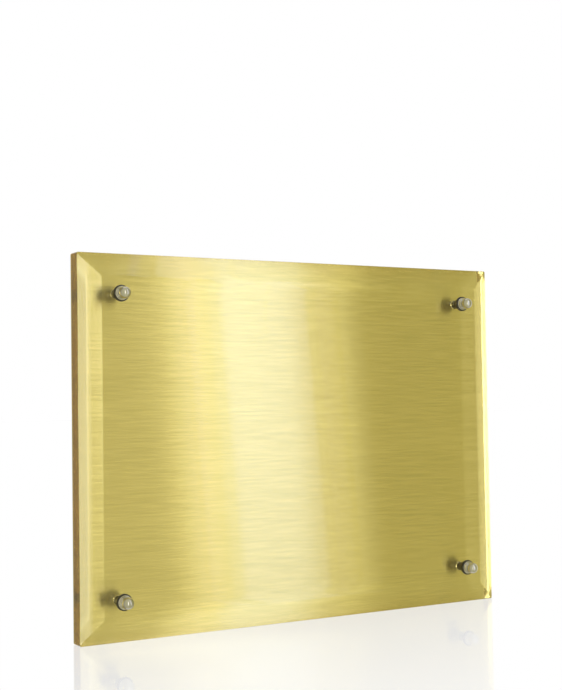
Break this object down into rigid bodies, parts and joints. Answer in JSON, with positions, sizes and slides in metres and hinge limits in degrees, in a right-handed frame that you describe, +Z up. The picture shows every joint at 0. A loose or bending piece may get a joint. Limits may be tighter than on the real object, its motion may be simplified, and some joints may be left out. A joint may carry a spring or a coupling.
{
  "type": "paperweight plaque",
  "caption": "Upright desk plaque used as a paperweight: a clear bevelled block on a brushed brass plate, clamped by ball-headed corner fixings that unscrew by hand.",
  "frame": {"origin": "middle of the block's flat lower edge, the face that it stands on", "axes": "+X to the right as seen from the front, +Y to the back, +Z up; the bevelled front faces -Y"},
  "size_m": [0.2032, 0.0199, 0.1524],
  "materials": {
    "clear_acrylic": "clear, polished on every face",
    "brushed_brass": "brushed along its length, bright",
    "polished_nickel": "polished nickel plate",
    "dark_bush": "dark, satin",
    "plain_steel": "plain zinc-plated steel"
  },
  "bodies": {
    "plaque": {"clear_block": "clear_acrylic", "brass_plate": "brushed_brass", "stud_top_left": "plain_steel", "front_bush_top_left": "dark_bush", "rear_washer_top_left": "plain_steel", "rear_nut_top_left": "plain_steel", "stud_top_right": "plain_steel", "front_bush_top_right": "dark_bush", "rear_washer_top_right": "plain_steel", "rear_nut_top_right": "plain_steel", "stud_bottom_left": "plain_steel", "front_bush_bottom_left": "dark_bush", "rear_washer_bottom_left": "plain_steel", "rear_nut_bottom_left": "plain_steel", "stud_bottom_right": "plain_steel", "front_bush_bottom_right": "dark_bush", "rear_washer_bottom_right": "plain_steel", "rear_nut_bottom_right": "plain_steel"},
    "trim_ring_top_left": {"trim_ring_top_left": "polished_nickel"},
    "ball_cap_top_left": {"ball_cap_top_left": "polished_nickel"},
    "trim_ring_top_right": {"trim_ring_top_right": "polished_nickel"},
    "ball_cap_top_right": {"ball_cap_top_right": "polished_nickel"},
    "trim_ring_bottom_left": {"trim_ring_bottom_left": "polished_nickel"},
    "ball_cap_bottom_left": {"ball_cap_bottom_left": "polished_nickel"},
    "trim_ring_bottom_right": {"trim_ring_bottom_right": "polished_nickel"},
    "ball_cap_bottom_right": {"ball_cap_bottom_right": "polished_nickel"}
  },
  "joints": [
    {"name": "top_left_cap_travel", "type": "slide", "parent": "plaque", "child": "trim_ring_top_left", "axis": [0, -1, 0], "range_m": [0, 0.002]},
    {"name": "top_left_cap_turn", "type": "hinge", "parent": "trim_ring_top_left", "child": "ball_cap_top_left", "pos_m": [-0.0846, -0.008, 0.1364], "axis": [0, -1, 0], "range_deg": [0, 1440]},
    {"name": "top_right_cap_travel", "type": "slide", "parent": "plaque", "child": "trim_ring_top_right", "axis": [0, -1, 0], "range_m": [0, 0.002]},
    {"name": "top_right_cap_turn", "type": "hinge", "parent": "trim_ring_top_right", "child": "ball_cap_top_right", "pos_m": [0.0846, -0.008, 0.1364], "axis": [0, -1, 0], "range_deg": [0, 1440]},
    {"name": "bottom_left_cap_travel", "type": "slide", "parent": "plaque", "child": "trim_ring_bottom_left", "axis": [0, -1, 0], "range_m": [0, 0.002]},
    {"name": "bottom_left_cap_turn", "type": "hinge", "parent": "trim_ring_bottom_left", "child": "ball_cap_bottom_left", "pos_m": [-0.0846, -0.008, 0.016], "axis": [0, -1, 0], "range_deg": [0, 1440]},
    {"name": "bottom_right_cap_travel", "type": "slide", "parent": "plaque", "child": "trim_ring_bottom_right", "axis": [0, -1, 0], "range_m": [0, 0.002]},
    {"name": "bottom_right_cap_turn", "type": "hinge", "parent": "trim_ring_bottom_right", "child": "ball_cap_bottom_right", "pos_m": [0.0846, -0.008, 0.016], "axis": [0, -1, 0], "range_deg": [0, 1440]}
  ],
  "couplings": [
    {"joint": "top_left_cap_turn", "follows": "top_left_cap_travel", "rad_per_m": 12566},
    {"joint": "top_right_cap_turn", "follows": "top_right_cap_travel", "rad_per_m": 12566},
    {"joint": "bottom_left_cap_turn", "follows": "bottom_left_cap_travel", "rad_per_m": 12566},
    {"joint": "bottom_right_cap_turn", "follows": "bottom_right_cap_travel", "rad_per_m": 12566}
  ]
}
